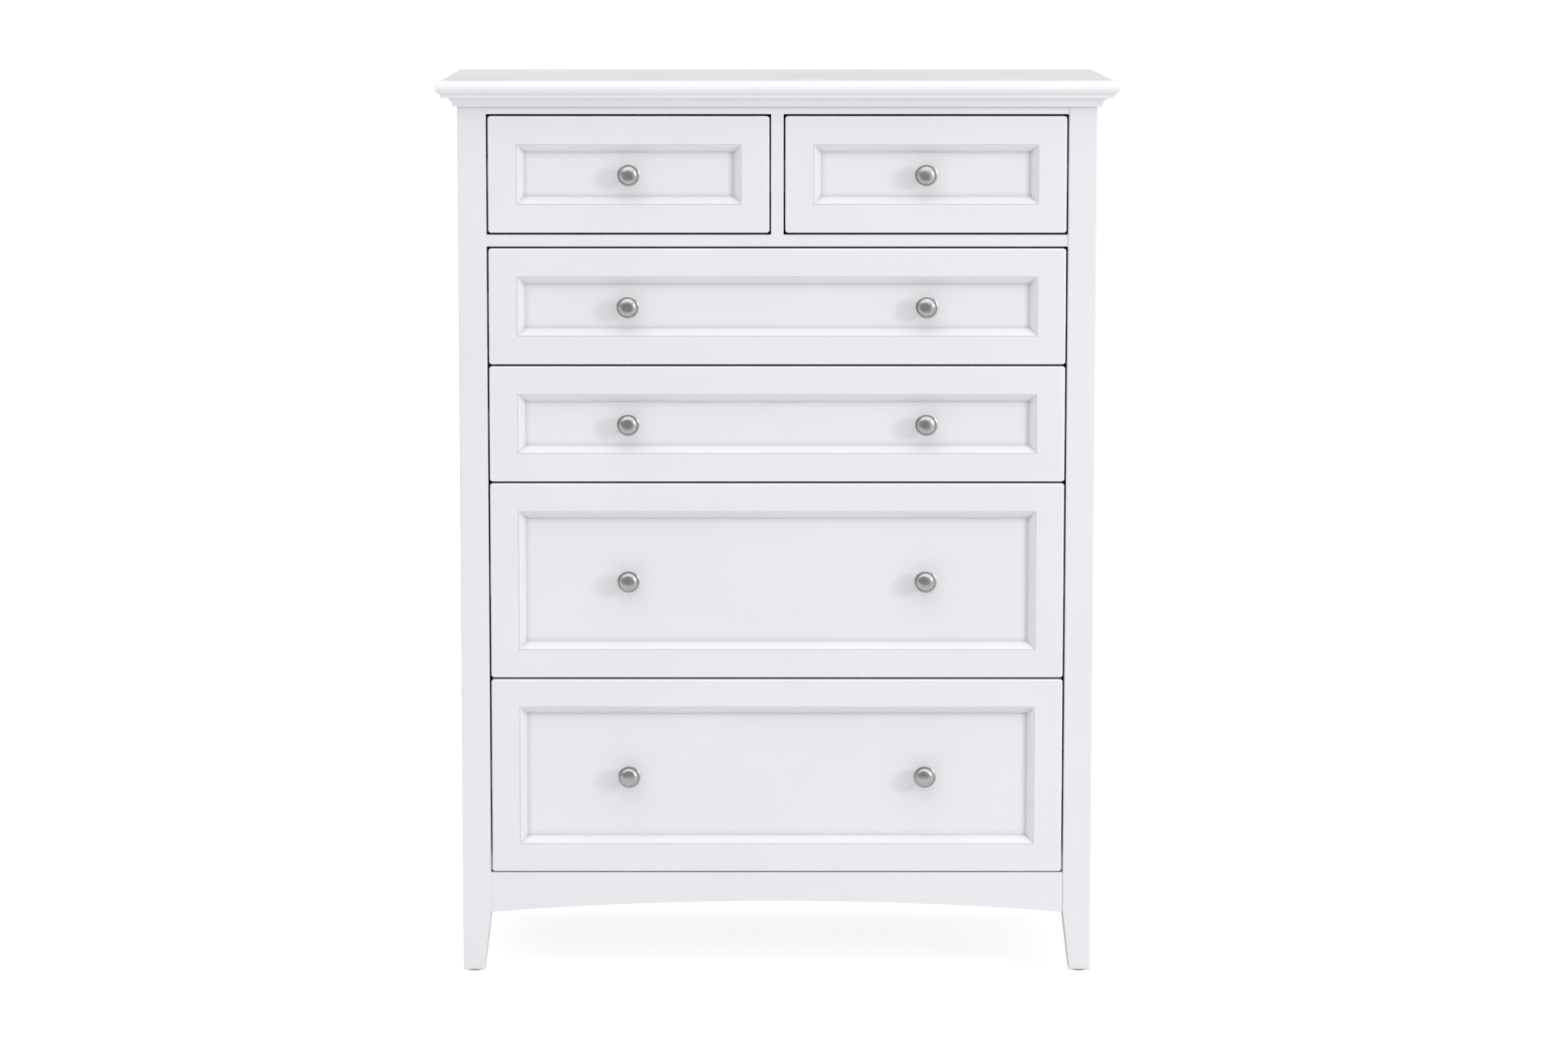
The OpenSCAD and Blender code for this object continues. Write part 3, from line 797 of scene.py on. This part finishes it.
def make_knobs(drawer):
    """A drawer's knobs on its panel, each with the screw that holds it from inside."""
    body = drawer + "_drawer"
    wide = drawer in DRAWERS[2:]
    node = drawer + ("_knobs" if wide else "_knob")
    low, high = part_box(node)
    places = {"left": low.x + KNOB_R, "right": high.x - KNOB_R} if wide else {
        "middle": (low.x + high.x) / 2}
    z = (low.z + high.z) / 2
    panel_y = FRONT_Y + PANEL_DROP
    inside_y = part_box(drawer + "_box")[0].y + BOARD_T
    for name, x in places.items():
        mesh = turned(knob_profile(), (x, panel_y, z), 96)
        piece("%s_knob_%s" % (drawer, name), mesh, NICKEL, body, "satin_nickel", node)
        head = [(r, -d) for r, d in screw_head(*KNOB_SCREW)]
        mesh = turned(head, (x, inside_y, z), 40)
        piece("%s_knob_screw_%s" % (drawer, name), mesh, ZINC, body, "satin_nickel", node)


def tail_edges(height, base, count):
    """Middle of each dovetail of a side board, and half its height at its end and at its root."""
    pitch = height / count
    wide, narrow = 0.36 * pitch, 0.25 * pitch
    return [(base + pitch * (i + 0.5), wide, narrow) for i in range(count)]


def side_outline(low, high, tails):
    """Outline in Y and Z of a drawer side with dovetails at both ends."""
    points = [(low.y + BOARD_T, low.z)]
    for middle, wide, narrow in tails:
        points += [(low.y + BOARD_T, middle - narrow), (low.y, middle - wide),
                   (low.y, middle + wide), (low.y + BOARD_T, middle + narrow)]
    points += [(low.y + BOARD_T, high.z), (high.y - BOARD_T, high.z)]
    for middle, wide, narrow in reversed(tails):
        points += [(high.y - BOARD_T, middle + narrow), (high.y, middle + wide),
                   (high.y, middle - wide), (high.y - BOARD_T, middle - narrow)]
    points += [(high.y - BOARD_T, low.z)]
    return points


def end_outline(low, high, tails, share):
    """Outline in X and Z of an inner front or a back, whose pins fill the gaps between the
    tails. share runs from 0 at the tails' roots to 1 at their ends."""
    root = BOARD_T
    def edges(tail):
        reach = tail[2] + (tail[1] - tail[2]) * share
        return tail[0] - reach, tail[0] + reach
    points = [(low.x, low.z)]
    for tail in tails:
        lower, upper = edges(tail)
        points += [(low.x, lower), (low.x + root, lower), (low.x + root, upper),
                   (low.x, upper)]
    points += [(low.x, high.z), (high.x, high.z)]
    for tail in reversed(tails):
        lower, upper = edges(tail)
        points += [(high.x, upper), (high.x - root, upper), (high.x - root, lower),
                   (high.x, lower)]
    points += [(high.x, low.z)]
    return points


def make_box(drawer):
    """The drawer box: two dovetailed sides, inner front, back and a plywood bottom."""
    body, node = drawer + "_drawer", drawer + "_box"
    low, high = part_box(node)
    height = high.z - low.z
    tails = tail_edges(height, low.z, max(4, round(height / (32 * MM))))
    for name, x0, x1 in (("left", low.x, low.x + BOARD_T), ("right", high.x - BOARD_T, high.x)):
        mesh = prism(side_outline(low, high, tails), X, x0, x1)
        soften(mesh, 1.5 * MM, 3, lambda e: all(v.co.z > high.z - TINY for v in e.verts)
               and abs(e.verts[0].co.y - e.verts[1].co.y) > 0.1)
        piece("%s_box_side_%s" % (drawer, name), mesh, WOOD[Y], body, "birch", node)
    fit = 0.02 * MM                         # keeps the boards' faces just apart
    for name, outer, root in (("front", low.y, low.y + BOARD_T),
                              ("back", high.y, high.y - BOARD_T)):
        rings = []
        for y, share in ((outer, 1), (root, 0)):
            rings.append([(x, y, z) for x, z in end_outline(
                low + Vector((fit, 0, 0)), high - Vector((fit, 0, 0)), tails, share)])
        piece("%s_box_%s" % (drawer, name), loft(rings), WOOD[X], body, "birch", node)
    b_low, b_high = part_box(drawer + "_box_bottom")
    inset = Vector((5.5 * MM, 5.5 * MM, 0))  # the sides have no groove: it ends just inside them
    mesh = board(b_low + inset, b_high - inset, 0.3 * MM, 2)
    piece(drawer + "_box_base", mesh, PLYWOOD[X], body, "plywood", drawer + "_box_bottom")


# ---------------------------------------------------------------- slides

def make_slides(drawer):
    """The slide members that move with a drawer, and those that move half as far."""
    for member in ("drawer", "middle"):
        dress_slides("%s_%s_slides" % (drawer, member))


def dress_slides(node):
    """A CAD slide keeps its own shape and takes fine edges and its metal."""
    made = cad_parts[node]
    made.data.materials.clear()
    made.data.materials.append(ZINC)
    weld = made.modifiers.new("weld", "WELD")
    weld.merge_threshold = 0.01 * MM
    bevel = made.modifiers.new("bevel", "BEVEL")
    bevel.width = 0.25 * MM
    bevel.segments = 2
    bevel.limit_method = "ANGLE"
    bevel.angle_limit = math.radians(50)
    bevel.use_clamp_overlap = True


# ---------------------------------------------------------------- the whole

make_camera()
make_light()
make_studio()
make_top()
make_crown()
make_case()
dress_slides("case_slides")
for drawer in DRAWERS:
    make_front(drawer)
    make_knobs(drawer)
    make_box(drawer)
    make_slides(drawer)
bpy.context.scene.view_settings.view_transform = "Standard"
